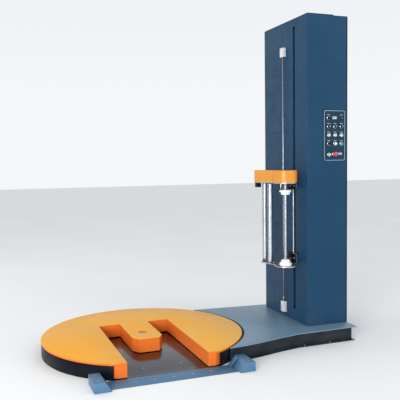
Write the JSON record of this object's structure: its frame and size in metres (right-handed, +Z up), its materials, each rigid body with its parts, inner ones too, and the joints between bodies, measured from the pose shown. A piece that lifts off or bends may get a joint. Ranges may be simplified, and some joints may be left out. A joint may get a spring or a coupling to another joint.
{
  "type": "turntable pallet wrapper",
  "caption": "Stretch wrapper with an M-shaped low turntable on a wheeled floor plate, an entry sill, a box mast with a control panel, and a film carriage that climbs the mast.",
  "frame": {"origin": "on the floor, on the turntable's turning axis, in the plane of the underside", "axes": "+Z up, +X from the turntable to the mast, -Y towards the side where pallets and forks enter"},
  "size_m": [2.3259, 1.5799, 2.497],
  "materials": {
    "painted_blue": "satin powder coat, dark steel blue",
    "deck_blue": "satin paint, lighter steel blue, worn by feet",
    "sill_blue": "satin paint, mid blue",
    "base_black": "dull black paint",
    "rim_black": "satin blue-black paint",
    "table_orange": "smooth powder coat, orange yellow",
    "cover_orange": "glossy powder coat, orange yellow",
    "bare_steel": "bare rolled sheet, scuffed by pallet trucks",
    "bright_steel": "ground shaft",
    "roller_chrome": "hard chrome",
    "zinc_plate": "zinc plated sheet",
    "bracket_black": "black paint, bare bright sheet edges",
    "core_white": "turned nylon",
    "block_white": "machined white plastic",
    "wheel_rubber": "solid polyurethane tread",
    "spring_steel": "drawn spring wire",
    "motor_grey": "cast housing, grey paint",
    "chain_steel": "oiled roller chain",
    "panel_dark": "matt dark overlay with pale lines and no text",
    "bezel_metal": "satin anodised",
    "display_pale": "counter window",
    "lamp_green": "lens",
    "knob_black": "moulded grip with pale pointer",
    "button_white": "moulded",
    "button_green": "moulded",
    "stop_red": "moulded mushroom head",
    "eye_black": "moulded sensor body",
    "box_grey": "light grey enclosure paint"
  },
  "bodies": {
    "base": {"floor_plate": "bare_steel", "base_rim": "rim_black", "entry_sill": "sill_blue", "sill_block_left": "sill_blue", "sill_block_right": "sill_blue", "hub_gearmotor": "motor_grey", "base_deck": "deck_blue", "base_frame": "base_black", "mast_shell": "painted_blue", "mast_cap": "painted_blue", "rear_cover": "painted_blue", "rear_cover_screws": "zinc_plate", "limit_rod": "bright_steel", "limit_rod_blocks": "block_white", "guide_rails": "zinc_plate", "lift_chain": "chain_steel", "lift_gearmotor": "motor_grey", "panel_back_box": "box_grey", "panel_plate": "panel_dark", "panel_bezels": "bezel_metal", "panel_display": "display_pale", "panel_lamp": "lamp_green"},
    "table": {"table_top": "table_orange", "table_walls": "table_orange", "table_hub": "bright_steel", "wheel_brackets": "bracket_black"},
    "wheel_1": {"support_wheel_1": "wheel_rubber"},
    "wheel_2": {"support_wheel_2": "wheel_rubber"},
    "wheel_3": {"support_wheel_3": "wheel_rubber"},
    "wheel_4": {"support_wheel_4": "wheel_rubber"},
    "sprocket_top": {"upper_sprocket": "bright_steel"},
    "sprocket_bottom": {"lower_sprocket": "bright_steel"},
    "carriage": {"carriage_bottom_plate": "zinc_plate", "carriage_top_plate": "zinc_plate", "lower_bracket": "bracket_black", "upper_bracket": "bracket_black", "lift_trolley": "zinc_plate", "tie_rod": "roller_chrome", "carriage_cover": "cover_orange", "film_brake": "eye_black", "film_photocell": "eye_black"},
    "mandrel": {"mandrel_shaft": "bright_steel", "core_cone": "core_white", "hub_spring": "spring_steel"},
    "core_holder": {"core_hub": "core_white"},
    "outer_roller": {"outer_film_roller": "roller_chrome"},
    "inner_roller": {"inner_film_roller": "roller_chrome"},
    "wrap_count": {"wrap_count_knob": "knob_black"},
    "table_speed": {"table_speed_knob": "knob_black"},
    "lift_speed": {"lift_speed_knob": "knob_black"},
    "film_force": {"film_force_knob": "knob_black"},
    "mode": {"mode_selector": "knob_black"},
    "cycle": {"cycle_selector": "knob_black"},
    "reinforce": {"reinforce_selector": "knob_black"},
    "lift_down": {"lift_down_button": "button_white"},
    "lift_up": {"lift_up_button": "button_white"},
    "start": {"start_button": "button_green"},
    "mains": {"main_switch": "knob_black"},
    "stop": {"emergency_stop": "stop_red"}
  },
  "joints": [
    {"name": "table_spin", "type": "hinge", "parent": "base", "child": "table", "pos_m": [0, 0, 0.1], "axis": [0, 0, 1], "continuous": true},
    {"name": "wheel_1_spin", "type": "hinge", "parent": "table", "child": "wheel_1", "pos_m": [0.49149, -0.34415, 0.0403], "axis": [0.8192, -0.5736, 0], "continuous": true},
    {"name": "wheel_2_spin", "type": "hinge", "parent": "table", "child": "wheel_2", "pos_m": [0.38567, 0.45963, 0.0403], "axis": [0.6428, 0.766, 0], "continuous": true},
    {"name": "wheel_3_spin", "type": "hinge", "parent": "table", "child": "wheel_3", "pos_m": [-0.38567, 0.45963, 0.0403], "axis": [-0.6428, 0.766, 0], "continuous": true},
    {"name": "wheel_4_spin", "type": "hinge", "parent": "table", "child": "wheel_4", "pos_m": [-0.49149, -0.34415, 0.0403], "axis": [-0.8192, -0.5736, 0], "continuous": true},
    {"name": "carriage_lift", "type": "slide", "parent": "base", "child": "carriage", "axis": [0, 0, 1], "range_m": [-0.35, 1.15]},
    {"name": "sprocket_bottom_spin", "type": "hinge", "parent": "base", "child": "sprocket_bottom", "pos_m": [1.327, -0.152, 0.2], "axis": [0, 1, 0], "continuous": true},
    {"name": "sprocket_top_spin", "type": "hinge", "parent": "base", "child": "sprocket_top", "pos_m": [1.327, -0.152, 2.4], "axis": [0, 1, 0], "continuous": true},
    {"name": "mandrel_spin", "type": "hinge", "parent": "carriage", "child": "mandrel", "pos_m": [1.075, -0.272, 0.6], "axis": [0, 0, 1], "continuous": true},
    {"name": "core_hub_slide", "type": "slide", "parent": "mandrel", "child": "core_holder", "axis": [0, 0, -1], "range_m": [0, 0.045], "deforming": ["hub_spring"]},
    {"name": "outer_roller_spin", "type": "hinge", "parent": "carriage", "child": "outer_roller", "pos_m": [1.028, -0.015, 0.6], "axis": [0, 0, 1], "continuous": true},
    {"name": "inner_roller_spin", "type": "hinge", "parent": "carriage", "child": "inner_roller", "pos_m": [1.027, -0.11, 0.6], "axis": [0, 0, 1], "continuous": true},
    {"name": "wrap_count_turn", "type": "hinge", "parent": "base", "child": "wrap_count", "pos_m": [1.401, -0.365, 1.7145], "axis": [0, -1, 0], "range_deg": [-150, 150]},
    {"name": "table_speed_turn", "type": "hinge", "parent": "base", "child": "table_speed", "pos_m": [1.401, -0.365, 1.649], "axis": [0, -1, 0], "range_deg": [-150, 150]},
    {"name": "lift_speed_turn", "type": "hinge", "parent": "base", "child": "lift_speed", "pos_m": [1.4575, -0.365, 1.649], "axis": [0, -1, 0], "range_deg": [-150, 150]},
    {"name": "film_force_turn", "type": "hinge", "parent": "base", "child": "film_force", "pos_m": [1.514, -0.365, 1.649], "axis": [0, -1, 0], "range_deg": [-150, 150]},
    {"name": "mode_turn", "type": "hinge", "parent": "base", "child": "mode", "pos_m": [1.401, -0.365, 1.5835], "axis": [0, -1, 0], "range_deg": [-45, 45]},
    {"name": "cycle_turn", "type": "hinge", "parent": "base", "child": "cycle", "pos_m": [1.4575, -0.365, 1.5835], "axis": [0, -1, 0], "range_deg": [-45, 45]},
    {"name": "reinforce_turn", "type": "hinge", "parent": "base", "child": "reinforce", "pos_m": [1.514, -0.365, 1.5835], "axis": [0, -1, 0], "range_deg": [-45, 45]},
    {"name": "lift_down_push", "type": "slide", "parent": "base", "child": "lift_down", "axis": [0, 1, 0], "range_m": [0, 0.004], "stiffness_N_per_m": 400},
    {"name": "lift_up_push", "type": "slide", "parent": "base", "child": "lift_up", "axis": [0, 1, 0], "range_m": [0, 0.004], "stiffness_N_per_m": 400},
    {"name": "start_push", "type": "slide", "parent": "base", "child": "start", "axis": [0, 1, 0], "range_m": [0, 0.004], "stiffness_N_per_m": 400},
    {"name": "mains_turn", "type": "hinge", "parent": "base", "child": "mains", "pos_m": [1.403, -0.365, 1.434], "axis": [0, -1, 0], "range_deg": [0, 90]},
    {"name": "emergency_stop_push", "type": "slide", "parent": "base", "child": "stop", "axis": [0, 1, 0], "range_m": [0, 0.006]}
  ],
  "couplings": [
    {"joint": "wheel_1_spin", "follows": "table_spin", "ratio": -17.647},
    {"joint": "wheel_2_spin", "follows": "table_spin", "ratio": -17.647},
    {"joint": "wheel_3_spin", "follows": "table_spin", "ratio": -17.647},
    {"joint": "wheel_4_spin", "follows": "table_spin", "ratio": -17.647},
    {"joint": "sprocket_bottom_spin", "follows": "carriage_lift", "rad_per_m": 23.809},
    {"joint": "sprocket_top_spin", "follows": "carriage_lift", "rad_per_m": 23.809}
  ]
}
